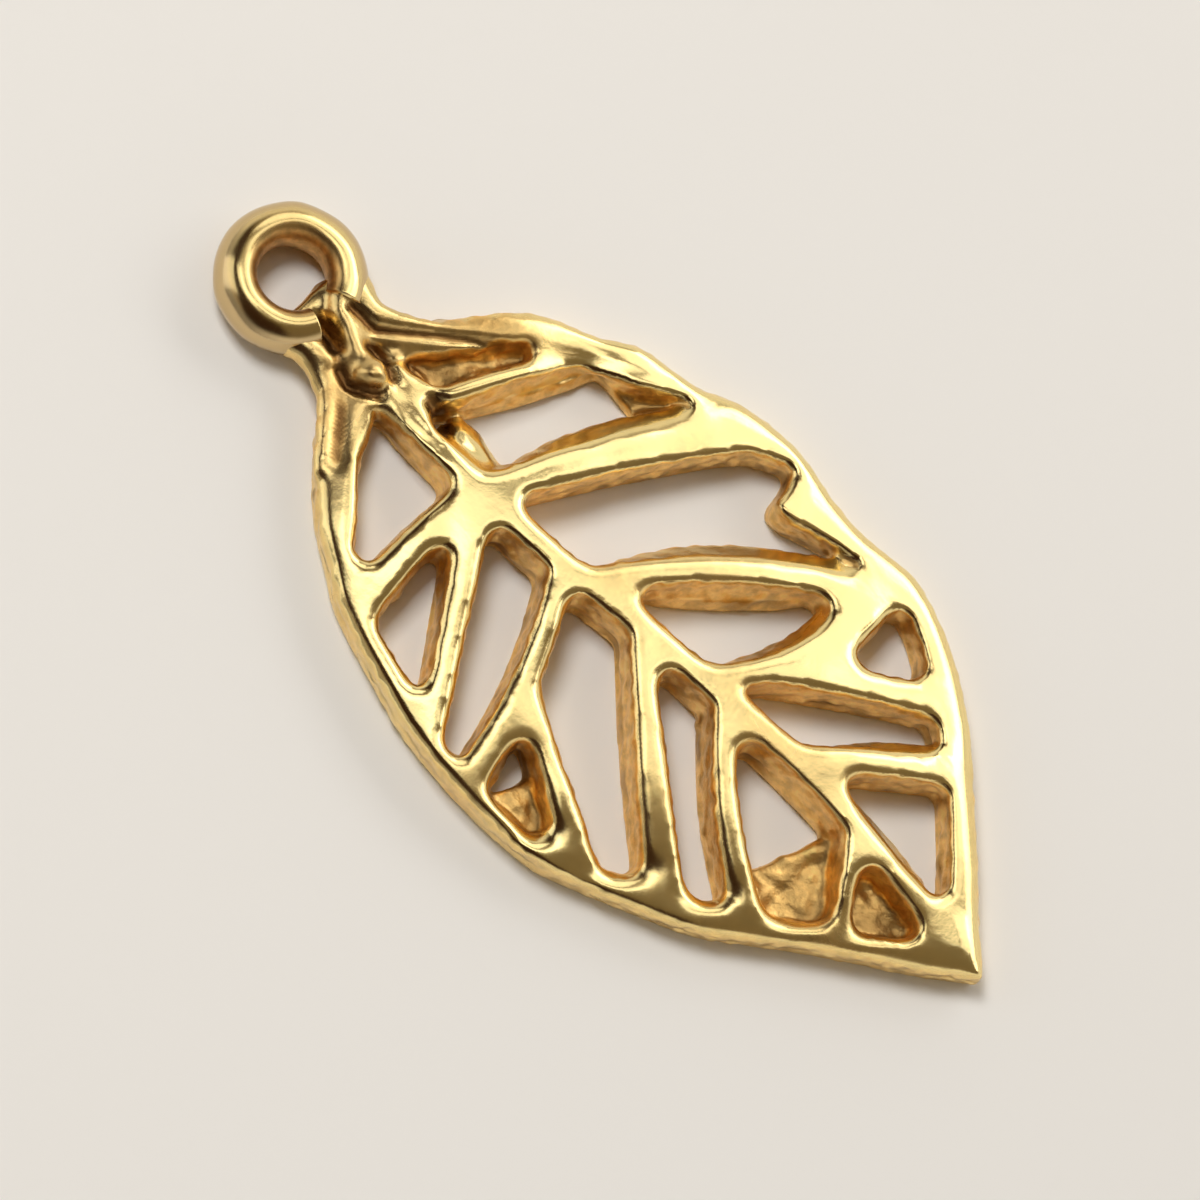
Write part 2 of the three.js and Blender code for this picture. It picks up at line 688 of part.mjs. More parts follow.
const bounds = new THREE.Box3().setFromObject(charm);
const middle = bounds.getCenter(new THREE.Vector3());
charm.position.set(-middle.x, -middle.y, -bounds.min.z);

export default charm;
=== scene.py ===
# Leaf hair charm: gold-plated openwork leaf with a round loop at its stem, lying on a pale table.
# Metres. +X runs from the loop to the tip, +Y to the leaf's right side, +Z is up.
import math

import bmesh
import bpy
import numpy as np
from mathutils import Matrix, Vector


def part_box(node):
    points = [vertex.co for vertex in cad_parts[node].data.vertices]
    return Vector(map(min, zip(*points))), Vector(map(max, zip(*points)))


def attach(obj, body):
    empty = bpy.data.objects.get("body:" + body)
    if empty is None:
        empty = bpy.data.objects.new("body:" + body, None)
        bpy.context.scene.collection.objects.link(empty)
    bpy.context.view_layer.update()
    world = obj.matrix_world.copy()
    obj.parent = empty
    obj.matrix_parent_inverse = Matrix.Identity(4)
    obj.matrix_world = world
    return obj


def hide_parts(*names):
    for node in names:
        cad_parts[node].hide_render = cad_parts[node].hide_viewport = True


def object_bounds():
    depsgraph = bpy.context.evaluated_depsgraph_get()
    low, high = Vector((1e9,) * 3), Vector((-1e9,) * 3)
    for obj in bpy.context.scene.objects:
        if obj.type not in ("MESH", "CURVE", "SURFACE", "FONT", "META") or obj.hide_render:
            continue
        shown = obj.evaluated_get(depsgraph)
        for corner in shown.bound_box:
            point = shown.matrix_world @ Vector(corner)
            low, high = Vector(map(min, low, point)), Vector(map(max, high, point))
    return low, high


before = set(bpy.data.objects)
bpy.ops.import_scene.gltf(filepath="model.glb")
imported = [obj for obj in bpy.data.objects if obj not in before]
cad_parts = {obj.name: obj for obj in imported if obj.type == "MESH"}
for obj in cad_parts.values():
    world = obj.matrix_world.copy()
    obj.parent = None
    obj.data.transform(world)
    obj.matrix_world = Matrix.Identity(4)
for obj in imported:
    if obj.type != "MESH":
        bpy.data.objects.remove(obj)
cadLow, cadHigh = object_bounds()
scene = bpy.context.scene
mm = 0.001


# Meshes as arrays

def meshArrays(mesh):
    points = np.empty(len(mesh.vertices) * 3)
    mesh.vertices.foreach_get("co", points)
    edges = np.empty(len(mesh.edges) * 2, np.int64)
    mesh.edges.foreach_get("vertices", edges)
    return points.reshape(-1, 3), edges.reshape(-1, 2)


def pointNormals(mesh):
    normals = np.empty(len(mesh.vertices) * 3)
    mesh.vertices.foreach_get("normal", normals)
    return normals.reshape(-1, 3)


def setPoints(mesh, points):
    mesh.vertices.foreach_set("co", points.astype(np.float32).ravel())
    mesh.update()


def setMask(mesh, name, values):
    attribute = mesh.attributes.new(name, "FLOAT", "POINT")
    attribute.data.foreach_set("value", values.astype(np.float32))


def makePiece(name, mesh, node, material):
    piece = bpy.data.objects.new(name, mesh)
    scene.collection.objects.link(piece)
    mesh.materials.clear()
    mesh.materials.append(material)
    mesh.shade_smooth()
    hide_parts(node)
    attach(piece, "root")


# Mean of each point's neighbours, for a table with one row of values to a point
def neighbourMean(values, edges):
    count = len(values)
    ends = np.concatenate([edges, edges[:, ::-1]])
    valence = np.bincount(ends[:, 0], minlength=count)[:, None]
    sums = [np.bincount(ends[:, 0], column[ends[:, 1]], count) for column in values.T]
    return np.stack(sums, axis=1) / valence


# Each value moves half the way to the mean of its neighbours, as often as asked, or a share of
# that half, which may differ from point to point
def melt(values, edges, rounds, share=1):
    for _ in range(rounds):
        values = values + 0.5 * share * (neighbourMean(values, edges) - values)
    return values


# How hollow the surface is at each point: how far the mean of its neighbours stands out from it
# along its normal, evened out over a few faces
def hollowness(points, normals, edges, rounds):
    outward = np.sum((neighbourMean(points, edges) - points) * normals, axis=1)
    return melt(outward[:, None], edges, rounds)[:, 0]


# Smooth noise, mostly from -1 to 1: sum of sine waves of seeded directions and phases, with lengths
# spread about the one that is given
def waveNoise(points, wavelength, seed, count=24, spread=(0.7, 1.4)):
    rng = np.random.default_rng(seed)
    directions = rng.normal(size=(count, 3))
    directions /= np.linalg.norm(directions, axis=1, keepdims=True)
    pitch = 2 * math.pi / (wavelength * rng.uniform(*spread, count))
    phases = rng.uniform(0, 2 * math.pi, count)
    total = np.zeros(len(points))
    for direction, step, phase in zip(directions, pitch, phases):
        total += np.sin(points @ direction * step + phase)
    return total / math.sqrt(2 * count)


# How far each point is pushed out by a wave of a dictionary, or by a share of its height
def waveShift(points, row, share=1):
    height, wavelength, seed = row
    return share * height * waveNoise(points, wavelength, seed)


# From nought to one, with soft ends, as the values go from the first to the last of a pair
def smoothStep(ends, values):
    first, last = ends
    share = np.clip((values - first) / (last - first), 0, 1)
    return share * share * (3 - 2 * share)


# Points held inside the box of the CAD part
def insideBox(points):
    return np.clip(points, np.array(cadLow), np.array(cadHigh))


# Materials

def addNode(tree, kind, place=(0, 0), **values):
    node = tree.nodes.new(kind)
    node.location = place
    for name, value in values.items():
        setattr(node, name, value)
    return node


# What goes from the first to the last of one pair comes out from the first to the last of another
def mapRange(tree, place, source, given=(0, 1), made=(0, 1), kind="LINEAR"):
    node = addNode(tree, "ShaderNodeMapRange", place, interpolation_type=kind)
    node.inputs["From Min"].default_value, node.inputs["From Max"].default_value = given
    node.inputs["To Min"].default_value, node.inputs["To Max"].default_value = made
    tree.links.new(source, node.inputs["Value"])
    return node.outputs["Result"]


# Noise sizes count to the metre. As a noise goes from the first to the last of its pair, the cloud
# share or the mottle goes from the first to the last of its own.
goldFinish = {
    "cloudSize": 330,
    "cloudDetail": 3,
    "cloudNoise": (0.35, 0.7),
    "cloudShare": (0, 0.36),
    "grainDetail": 4,
    "grainRoughness": 0.6,
    "mottleNoise": (0.36, 0.64),
    "mottle": (0.78, 1.22),
    "roughness": (0.14, 0.40),
    "grainHeight": (0.12, 1),
}


# Group: colour and roughness of worn gold plating. The polished tops are pale and smooth, the
# cast walls darker, redder and rough, and both are clouded a little. Painted shade is laid in where
# the shade mask asks.
def goldFinishGroup(look):
    group = bpy.data.node_groups.new("goldFinish", "ShaderNodeTree")
    sockets = group.interface
    for name, kind in (("Polished", "NodeSocketColor"), ("Cast", "NodeSocketColor"),
                       ("Shade Color", "NodeSocketColor"), ("Wall", "NodeSocketFloat"),
                       ("Painted Shade", "NodeSocketFloat"), ("Grain Size", "NodeSocketFloat")):
        sockets.new_socket(name, in_out="INPUT", socket_type=kind)
    for name, kind in (("Color", "NodeSocketColor"), ("Roughness", "NodeSocketFloat"),
                       ("Height", "NodeSocketFloat")):
        sockets.new_socket(name, in_out="OUTPUT", socket_type=kind)
    links = group.links
    given = addNode(group, "NodeGroupInput", (-900, 0))
    out = addNode(group, "NodeGroupOutput", (900, 0))
    coords = addNode(group, "ShaderNodeTexCoord", (-900, -300))

    clouds = addNode(group, "ShaderNodeTexNoise", (-600, -300))
    clouds.inputs["Scale"].default_value = look["cloudSize"]
    clouds.inputs["Detail"].default_value = look["cloudDetail"]
    links.new(coords.outputs["Object"], clouds.inputs["Vector"])

    grain = addNode(group, "ShaderNodeTexNoise", (-600, -600))
    grain.inputs["Detail"].default_value = look["grainDetail"]
    grain.inputs["Roughness"].default_value = look["grainRoughness"]
    links.new(coords.outputs["Object"], grain.inputs["Vector"])
    links.new(given.outputs["Grain Size"], grain.inputs["Scale"])

    # Walls and clouds together decide how far the colour goes to the cast one
    spread = mapRange(group, (-300, -300), clouds.outputs["Fac"], look["cloudNoise"],
                      look["cloudShare"])
    both = addNode(group, "ShaderNodeMath", (-100, -200), operation="ADD", use_clamp=True)
    links.new(spread, both.inputs[0])
    links.new(given.outputs["Wall"], both.inputs[1])

    # The cast metal is mottled by its grain, from darker in the pits to brighter on the bumps
    mottle = mapRange(group, (-300, 300), grain.outputs["Fac"], look["mottleNoise"],
                      look["mottle"])
    mottled = addNode(group, "ShaderNodeVectorMath", (0, 200), operation="MULTIPLY")
    links.new(given.outputs["Cast"], mottled.inputs[0])
    links.new(mottle, mottled.inputs[1])

    mix = addNode(group, "ShaderNodeMix", (200, 100), data_type="RGBA")
    links.new(both.outputs["Value"], mix.inputs["Factor"])
    links.new(given.outputs["Polished"], mix.inputs["A"])
    links.new(mottled.outputs["Vector"], mix.inputs["B"])
    # Painted shade: the dark shade colour laid over the metal as far as the painted shade mask asks
    shaded = addNode(group, "ShaderNodeMix", (450, 100), data_type="RGBA")
    links.new(given.outputs["Painted Shade"], shaded.inputs["Factor"])
    links.new(mix.outputs["Result"], shaded.inputs["A"])
    links.new(given.outputs["Shade Color"], shaded.inputs["B"])
    links.new(shaded.outputs["Result"], out.inputs["Color"])

    rough = mapRange(group, (200, -200), both.outputs["Value"], made=look["roughness"])
    links.new(rough, out.inputs["Roughness"])

    # The grain stands high on cast walls and nearly vanishes on polished tops
    grainShare = mapRange(group, (0, -500), given.outputs["Wall"], made=look["grainHeight"])
    height = addNode(group, "ShaderNodeMath", (300, -500), operation="MULTIPLY")
    links.new(grain.outputs["Fac"], height.inputs[0])
    links.new(grainShare, height.inputs[1])
    links.new(height.outputs["Value"], out.inputs["Height"])
    return group


# Metal that places the group with its own colours, and its grain as a bump
def goldMaterial(name, group, look):
    material = bpy.data.materials.new(name)
    material.use_nodes = True
    tree = material.node_tree
    shader = tree.nodes["Principled BSDF"]
    shader.inputs["Metallic"].default_value = 1.0
    finish = addNode(tree, "ShaderNodeGroup", (-500, 0), node_tree=group)
    finish.inputs["Polished"].default_value = (*look["polished"], 1)
    finish.inputs["Cast"].default_value = (*look["cast"], 1)
    finish.inputs["Shade Color"].default_value = (*look["shadeColor"], 1)
    finish.inputs["Grain Size"].default_value = look["grainSize"]
    wall = addNode(tree, "ShaderNodeAttribute", (-800, 0), attribute_name="wall")
    tree.links.new(wall.outputs["Fac"], finish.inputs["Wall"])
    # The painted shade mask, read from the mesh
    paintedShade = addNode(tree, "ShaderNodeAttribute", (-800, -200), attribute_name="paintedShade")
    tree.links.new(paintedShade.outputs["Fac"], finish.inputs["Painted Shade"])
    bump = addNode(tree, "ShaderNodeBump", (-250, -250))
    bump.inputs["Strength"].default_value = look["bumpStrength"]
    bump.inputs["Distance"].default_value = look["bumpDepth"]
    tree.links.new(finish.outputs["Color"], shader.inputs["Base Color"])
    tree.links.new(finish.outputs["Roughness"], shader.inputs["Roughness"])
    tree.links.new(finish.outputs["Height"], bump.inputs["Height"])
    tree.links.new(bump.outputs["Normal"], shader.inputs["Normal"])
    return material


leafGold = {
    "polished": (0.98, 0.80, 0.365),
    "cast": (0.90, 0.58, 0.20),
    # The next colour is painted shade: dark brown laid into the creases, the stem's hollows,
    # patches on the floors and over the stem
    "shadeColor": (0.20, 0.095, 0.03),
    "grainSize": 2600,
    "bumpStrength": 0.7,
    "bumpDepth": 0.06 * mm,
}
loopGold = {
    "polished": (0.96, 0.76, 0.33),
    "cast": (0.60, 0.34, 0.11),
    # The next colour is painted shade: a duller tan laid on the loop's outer side
    "shadeColor": (0.58, 0.42, 0.23),
    "grainSize": 4200,
    "bumpStrength": 0.5,
    "bumpDepth": 0.03 * mm,
}

finishGroup = goldFinishGroup(goldFinish)
leafMaterial = goldMaterial("leafGold", finishGroup, leafGold)
loopMaterial = goldMaterial("loopGold", finishGroup, loopGold)
print("materials ready")


# Leaf: the cast openwork, as one skin of even small faces over the CAD leaf and its solder

# Corners are melted as in a casting, walls left grainy, and the top polished by hand. Lengths, and
# heights above the table, are in metres down to the evening of the top, and from there on in
# millimetres. A pair is where a soft change starts and ends; a wave is its height, wavelength and
# seed, and a noise the last two of these. Places are counted from the eye's centre.
leafSkin = {
    "weldDistance": 1e-7,
    "faceSize": 0.079 * mm,
    "meltRounds": 8,
    "topMeltRounds": 30,
    "stemMeltRounds": 4,
    "topHeights": (0.55 * mm, 0.85 * mm),
    "wornFacing": (-0.4, 0.3),
    "bladeFrom": 4.9 * mm,
    "bladeFade": 1.0 * mm,
    "stemLengths": (2.6 * mm, 5.2 * mm),
    "raisedHeights": (0.05 * mm, 0.3 * mm),
    "upperHeights": (0.3 * mm, 0.8 * mm),
    "floorHeights": (0.5 * mm, 0.62 * mm),
    "steepFacing": (0.15, 0.75),
    "stemWaves": 0.15,
    "handWave": (0.020 * mm, 2.4 * mm, 3),
    "fineWave": (0.006 * mm, 1.0 * mm, 9),
    "castWave": (0.026 * mm, 0.42 * mm, 7),
    "floorWave": (0.05 * mm, 0.9 * mm, 5),

    # How much of the cast finish and of the painted shade shows, and where
    "hollowRounds": 3,
    "stemHollowRounds": 8,
    "hollowFull": 0.0035 * mm,
    "hollowRange": (0.1, 1),
    "hollowCast": 0.85,
    "stemCast": 0.25,
    "stripWidth": 0.4 * mm,
    "outerReach": 0.3 * mm,
    "outerFade": 1.6,
    "outerPolish": 0.6,
    "creaseDepths": (0.03 * mm, 0.18 * mm),
    # Painted shade: how dark the creases, the patches on the web floors and the stem are painted,
    # and the most it may reach
    "creaseShade": 0.85,
    "patchNoise": (1.2 * mm, 21),
    "patchRange": (-0.3, 0.9),
    "floorPatchShade": 0.6,
    "stemShade": 0.18,
    "mostShade": 0.95,

    # Evening of the polished top: cells of its map, width of the bell for the fit, facing and least
    # height of what counts as top, pull to level, bell of the edges in cells, and the furthest move
    "evenCell": 0.1,
    "evenWidth": 0.55,
    "evenFacing": 0.985,
    "evenFrom": 0.7,
    "evenLevelling": 0.02,
    "evenEdgeCells": 1.5,
    "evenEdgeCount": 0.02,
    "evenMost": 0.08,
    "evenHeights": (0.45, 0.75),

    # Tubes of solder: rings, sides, rounds of easing, reach of the closed ends in radii
    "solderRings": 14,
    "solderSides": 14,
    "solderEaseRounds": 3,
    "solderEndReach": 0.8,

    # Solder that runs from the loop's ends into the stem: places, with the radius there
    "solderRuns": [
        [(0.62, 1.24, 0.66, 0.34), (1.00, 1.02, 0.70, 0.45), (1.45, 0.82, 0.74, 0.46),
         (1.95, 0.74, 0.76, 0.36)],
        [(0.62, -1.24, 0.66, 0.34), (1.00, -1.06, 0.68, 0.43), (1.5, -0.92, 0.70, 0.43),
         (2.1, -0.98, 0.72, 0.36)],
        [(1.75, 0.72, 0.84, 0.32), (2.45, 0.98, 0.86, 0.30), (3.2, 1.50, 0.84, 0.27),
         (4.1, 2.35, 0.84, 0.24)],
        [(1.10, 0.40, 0.72, 0.30), (1.75, 0.12, 0.68, 0.46), (2.30, -0.18, 0.68, 0.48),
         (2.8, -0.40, 0.66, 0.38)],
        [(1.90, -1.12, 0.74, 0.30), (2.60, -1.42, 0.78, 0.27), (3.2, -2.14, 0.80, 0.25),
         (3.8, -2.95, 0.80, 0.22)],
        [(2.50, -0.98, 0.60, 0.26), (3.05, -1.50, 0.62, 0.27), (3.6, -2.10, 0.66, 0.26),
         (4.1, -2.70, 0.66, 0.22)],
        [(2.65, -0.80, 0.78, 0.22), (3.16, -1.18, 0.82, 0.23), (3.62, -1.64, 0.84, 0.22),
         (4.1, -2.34, 0.82, 0.2)],
        [(1.60, 0.42, 0.68, 0.26), (2.20, 0.42, 0.74, 0.27), (2.80, 0.86, 0.76, 0.28),
         (3.9, 1.80, 0.76, 0.24)],
        [(3.20, -0.36, 0.82, 0.24), (4.10, -0.34, 0.86, 0.27), (5.0, -0.36, 0.86, 0.27)],
        [(5.05, 0.16, 0.68, 0.30), (5.65, 0.08, 0.70, 0.44), (6.4, -0.04, 0.70, 0.40)],
        [(5.10, 0.40, 0.48, 0.26), (5.75, 0.28, 0.56, 0.38), (6.5, 0.10, 0.58, 0.36)],
        [(3.20, 0.16, 0.78, 0.22), (3.65, 0.08, 0.86, 0.28), (4.15, 0.16, 0.90, 0.30),
         (4.6, 0.55, 0.90, 0.28), (4.9, 1.15, 0.88, 0.25), (5.15, 1.80, 0.86, 0.22)],
    ],

    # Creases between the strands of the stem: depth and half width, then places
    "creases": [
        (0.14, 0.09, [(1.45, 0.42), (1.80, 0.48), (2.25, 0.50), (2.75, 0.94), (3.30, 1.44),
                      (4.59, 2.49)]),
        (0.34, 0.15, [(1.24, -0.34), (1.60, -0.32), (1.90, -0.50)]),
        (0.14, 0.12, [(1.90, -0.50), (2.35, -0.80)]),
        (0.08, 0.15, [(2.55, -0.98), (2.95, -1.40), (3.35, -1.90), (3.78, -2.38)]),
        (0.20, 0.10, [(2.45, 0.10), (2.62, 0.16), (2.95, 0.14), (3.30, -0.05)]),
        (0.24, 0.12, [(2.35, -0.82), (2.75, -0.96), (3.10, -0.78), (3.35, -0.62)]),
        (0.30, 0.16, [(4.45, 0.20), (4.75, 0.20), (5.00, 0.02)]),
        (0.12, 0.09, [(3.70, -0.95), (4.60, -1.05), (5.40, -0.95)]),
    ],

    # Shallow dips that the polishing left in the top, and swellings as dips below nought: place,
    # reach along and across, turn in degrees, depth. The last five round off the left rim where
    # the openings end.
    "polishDips": [
        (15.8, -4.6, 2.2, 0.9, 22, 0.10),
        (22.0, 0.1, 1.2, 1.0, 0, 0.09),
        (6.15, 3.55, 0.75, 0.50, 22, 0.28),
        (4.2, 3.05, 1.2, 0.40, 26, -0.16),
        (8.8, 5.3, 0.5, 0.35, 30, 0.08),
        (12.4, 0.2, 1.6, 0.5, 8, 0.05),
        (9.4, 2.4, 1.2, 0.5, 45, 0.05),
        (7.2, -2.2, 1.1, 0.4, -45, 0.05),
        (11.6, -3.4, 1.3, 0.4, -50, 0.05),
        (10.6, -6.0, 2.7, 1.1, 4, -0.13),
        (17.6, 3.2, 1.2, 0.5, 10, 0.05),
        (13.20, -5.43, 0.38, 0.22, 47, 0.16),
        (15.22, -4.55, 0.50, 0.22, 50, 0.17),
        (17.12, -3.40, 0.42, 0.22, 52, 0.18),
        (18.90, -2.33, 0.55, 0.22, 52, 0.18),
        (20.32, -1.25, 0.45, 0.22, 52, 0.17),
    ],

    # Places that the polishing missed, in the same order, with the share that stays as cast
    "dullPatches": [
        (3.7, 2.45, 1.2, 0.34, 28, 0.7),
        (2.7, -1.5, 0.9, 0.30, -48, 0.35),
        (10.2, 0.3, 1.1, 0.5, 10, 0.3),
        (14.8, 0.4, 1.2, 0.5, -5, 0.3),
        (20.6, -2.6, 1.4, 0.5, -30, 0.3),
    ],
}


# Closed tube through a few places: each row is a place and a radius, and between the rows both
# are eased along a smooth line. Every ring is a circle square to the line there.
def tube(rows, look):
    rings, sides = look["solderRings"], look["solderSides"]
    rows = np.array(rows) * mm
    share = np.linspace(0, len(rows) - 1, rings)
    low = np.minimum(share.astype(int), len(rows) - 2)
    part = (share - low)[:, None]
    line = rows[low] * (1 - part) + rows[low + 1] * part
    for _ in range(look["solderEaseRounds"]):
        line[1:-1] = (line[:-2] + 2 * line[1:-1] + line[2:]) / 4
    centre, radius = line[:, :3], line[:, 3]
    ahead = np.gradient(centre, axis=0)
    ahead /= np.linalg.norm(ahead, axis=1, keepdims=True)
    side = np.cross(ahead, (0, 0, 1))
    side /= np.linalg.norm(side, axis=1, keepdims=True)
    over = np.cross(side, ahead)
    turn = np.linspace(0, 2 * math.pi, sides, endpoint=False)
    wheel = np.cos(turn)[:, None, None] * side + np.sin(turn)[:, None, None] * over
    circles = (centre + wheel * radius[:, None]).transpose(1, 0, 2)
    ends = np.array([
        centre[0] - ahead[0] * radius[0] * look["solderEndReach"],
        centre[-1] + ahead[-1] * radius[-1] * look["solderEndReach"],
    ])
    points = np.concatenate([circles.reshape(-1, 3), ends])
    ring, spoke = np.meshgrid(np.arange(rings - 1), np.arange(sides), indexing="ij")
    here = (ring * sides + spoke).ravel()
    beside = (ring * sides + (spoke + 1) % sides).ravel()
    quads = np.stack([here, here + sides, beside + sides, beside], axis=1)
    first = np.arange(sides)
    after = (first + 1) % sides
    last = (rings - 1) * sides
    count = rings * sides
    caps = np.concatenate([
        np.stack([first, after, np.full(sides, count)], axis=1),
        np.stack([last + after, last + first, np.full(sides, count + 1)], axis=1),
    ])
    return points, quads.tolist() + caps.tolist()


# Middle of the eye, at the table's height
def eyeCentre():
    low, high = (np.array(corner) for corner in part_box("eye_loop"))
    return np.array([low[0] + loopWire["radius"], (low[1] + high[1]) / 2, 0])


# One closed skin of even faces round everything that is given: a CAD node and loose meshes
def remeshed(node, extras, look):
    source = bpy.data.meshes.new("leafSource")
    work = bmesh.new()
    work.from_mesh(node.data)
    bmesh.ops.remove_doubles(work, verts=work.verts, dist=look["weldDistance"])
    for points, faces in extras:
        extra = bpy.data.meshes.new("solder")
        extra.from_pydata(points.tolist(), [], faces)
        work.from_mesh(extra)
        bpy.data.meshes.remove(extra)
    work.to_mesh(source)
    work.free()
    holder = bpy.data.objects.new("leafSource", source)
    scene.collection.objects.link(holder)
    remesh = holder.modifiers.new("evenFaces", "REMESH")
    remesh.mode = "VOXEL"
    remesh.voxel_size = look["faceSize"]
    remesh.adaptivity = 0
    graph = bpy.context.evaluated_depsgraph_get()
    mesh = bpy.data.meshes.new_from_object(holder.evaluated_get(graph))
    bpy.data.objects.remove(holder)
    bpy.data.meshes.remove(source)
    return mesh


# Map blurred along both axes with a bell curve of a width given in cells, cut off at three widths
def blurred(maps, width):
    reach = int(3 * width) + 1
    bell = np.exp(-0.5 * (np.arange(-reach, reach + 1) / width) ** 2)
    bell /= bell.sum()
    for axis in (0, 1):
        maps = np.apply_along_axis(np.convolve, axis, maps, bell, "same")
    return maps


# Height and slopes of the top at the cells of a map: the plane that fits the polished points best
# round each cell's middle, weighed by a bell curve. Where these lie close together, it is pulled
# to level.
def fittedTop(points, cells, middles, width, levelling):
    x, y, z = points.T
    shape = middles.shape[:2]
    flat = cells[:, 0] * shape[1] + cells[:, 1]
    terms = (np.ones_like(x), x, y, x * x, x * y, y * y, z, x * z, y * z)
    maps = np.stack([np.bincount(flat, term, shape[0] * shape[1]).reshape(shape)
                     for term in terms], axis=2)
    n, sx, sy, sxx, sxy, syy, sz, sxz, syz = np.moveaxis(blurred(maps, width), 2, 0)
    mx, my = np.moveaxis(middles, 2, 0)
    ax, ay = sx - mx * n, sy - my * n
    axx = sxx - 2 * mx * sx + mx * mx * n + levelling * n
    ayy = syy - 2 * my * sy + my * my * n + levelling * n
    axy = sxy - mx * sy - my * sx + mx * my * n
    left = np.stack([n, ax, ay, ax, axx, axy, ay, axy, ayy], axis=-1).reshape(*shape, 3, 3)
    right = np.stack([sz, sxz - mx * sz, syz - my * sz], axis=-1)
    solvable = np.eye(3) * 1e-9  # for cells with no points
    return np.linalg.solve(left + solvable, right[..., None])[..., 0]


# How far each point rises or sinks so that the polished top runs smoothly. The polished points go
# to the fitted plane, and the edges beside them follow by the bell-weighed mean of their moves.
def evenedTop(points, normals, look):
    cell = look["evenCell"]
    scaled = points / mm
    low = scaled[:, :2].min(axis=0) - cell
    cells = ((scaled[:, :2] - low) / cell).astype(int)
    shape = tuple(cells.max(axis=0) + 2)
    numbers = np.stack(np.meshgrid(*map(np.arange, shape), indexing="ij"), axis=2)
    middles = low + (numbers + 0.5) * cell
    isTop = (normals[:, 2] > look["evenFacing"]) & (scaled[:, 2] > look["evenFrom"])
    plane = fittedTop(scaled[isTop], cells[isTop], middles, look["evenWidth"] / cell,
                      look["evenLevelling"])
    here = plane[cells[isTop, 0], cells[isTop, 1]]
    away = scaled[isTop, :2] - middles[cells[isTop, 0], cells[isTop, 1]]
    moves = here[:, 0] + here[:, 1] * away[:, 0] + here[:, 2] * away[:, 1] - scaled[isTop, 2]
    flat = cells[isTop, 0] * shape[1] + cells[isTop, 1]
    sums = np.stack([np.bincount(flat, term, shape[0] * shape[1]).reshape(shape)
                     for term in (moves, np.ones_like(moves))], axis=2)
    spread = blurred(sums, look["evenEdgeCells"])
    mean = spread[..., 0] / (spread[..., 1] + look["evenEdgeCount"])
    change = mean[cells[:, 0], cells[:, 1]]
    change[isTop] = moves
    change = np.clip(change, -look["evenMost"], look["evenMost"])
    return change * mm * smoothStep(look["evenHeights"], scaled[:, 2])


# Sum at each point of the bell curves round the places of a table, such as the polish dips
def bellSum(points, centre, rows):
    total = np.zeros(len(points))
    for x, y, along, aside, turn, height in rows:
        away = (points - centre)[:, :2] / mm - (x, y)
        angle = math.radians(turn)
        ahead = away @ (math.cos(angle), math.sin(angle)) / along
        beside = away @ (-math.sin(angle), math.cos(angle)) / aside
        total += height * np.exp(-0.5 * (ahead ** 2 + beside ** 2))
    return total


# Depth of the creases at each point: a bell curve across the nearest place of each line
def creaseDepth(points, centre, creases):
    depth = np.zeros(len(points))
    places = (points - centre)[:, :2] / mm
    for deep, halfWidth, line in creases:
        line = np.array(line)
        away = np.full(len(points), np.inf)
        for start, end in zip(line[:-1], line[1:]):
            step = end - start
            share = np.clip((places - start) @ step / (step @ step), 0, 1)
            away = np.minimum(away, np.linalg.norm(places - start - share[:, None] * step, axis=1))
        depth = np.maximum(depth, deep * mm * np.exp(-0.5 * (away / halfWidth) ** 2))
    return depth


# Share of the leaf's outer side at each point: how near it is to the outline's two sides, found as
# the least and greatest y in each narrow strip across the leaf
def outerShare(points, look):
    strip = ((points[:, 0] - points[:, 0].min()) / look["stripWidth"]).astype(int)
    count = strip.max() + 1
    least, greatest = np.full(count, np.inf), np.full(count, -np.inf)
    np.minimum.at(least, strip, points[:, 1])
    np.maximum.at(greatest, strip, points[:, 1])
    away = np.minimum(points[:, 1] - least[strip], greatest[strip] - points[:, 1])
    reach = look["outerReach"]
    return 1 - smoothStep((reach, look["outerFade"] * reach), away)


